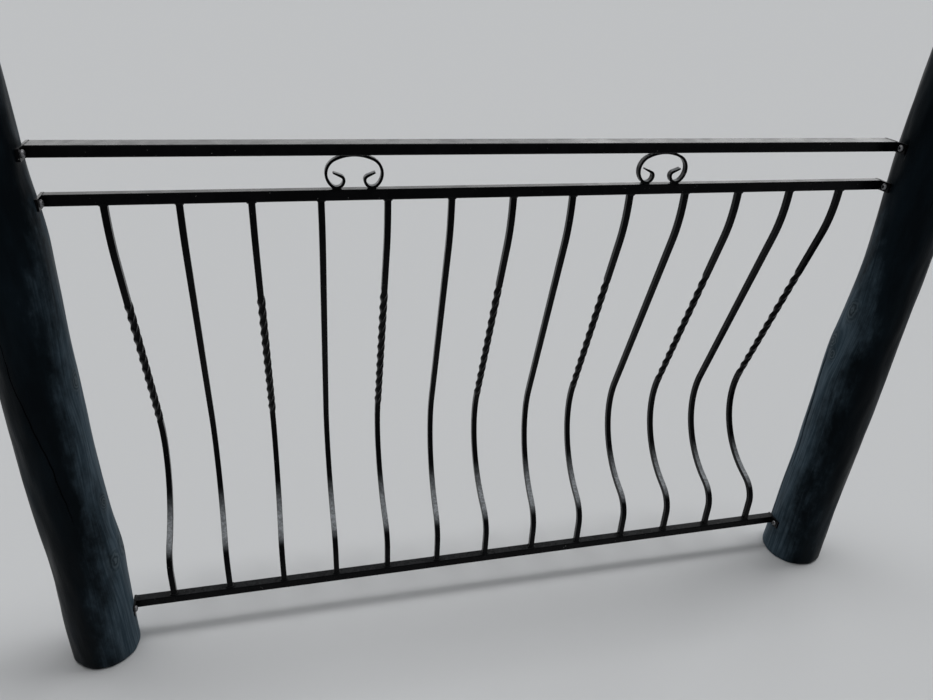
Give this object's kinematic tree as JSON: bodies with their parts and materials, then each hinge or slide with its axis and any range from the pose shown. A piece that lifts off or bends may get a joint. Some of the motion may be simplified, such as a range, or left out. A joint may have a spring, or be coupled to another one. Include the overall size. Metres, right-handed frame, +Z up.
{
  "type": "balustrade",
  "caption": "Black iron porch balustrade with bellied square bars, every other one twisted, scrolls under the handrail and round timber posts.",
  "frame": {"origin": "middle of the left post's foot, on the floor", "axes": "+X along the rails to the right post, +Y outdoors, the side the belly faces, +Z up; the porch side is -Y"},
  "size_m": [1.893, 0.2954, 1.4],
  "materials": {
    "iron": "black satin paint",
    "post_wood": "blue-black stain, matt"
  },
  "bodies": {
    "root": {"bottom_rail": "iron", "upper_rail": "iron", "handrail": "iron", "left_scroll": "iron", "right_scroll": "iron", "baluster_01": "iron", "baluster_02": "iron", "baluster_03": "iron", "baluster_04": "iron", "baluster_05": "iron", "baluster_06": "iron", "baluster_07": "iron", "baluster_08": "iron", "baluster_09": "iron", "baluster_10": "iron", "baluster_11": "iron", "baluster_12": "iron", "baluster_13": "iron", "bottom_rail_left_plate": "iron", "bottom_rail_right_plate": "iron", "upper_rail_left_plate": "iron", "upper_rail_right_plate": "iron", "handrail_left_plate": "iron", "handrail_right_plate": "iron", "left_post": "post_wood", "right_post": "post_wood"}
  },
  "joints": []
}
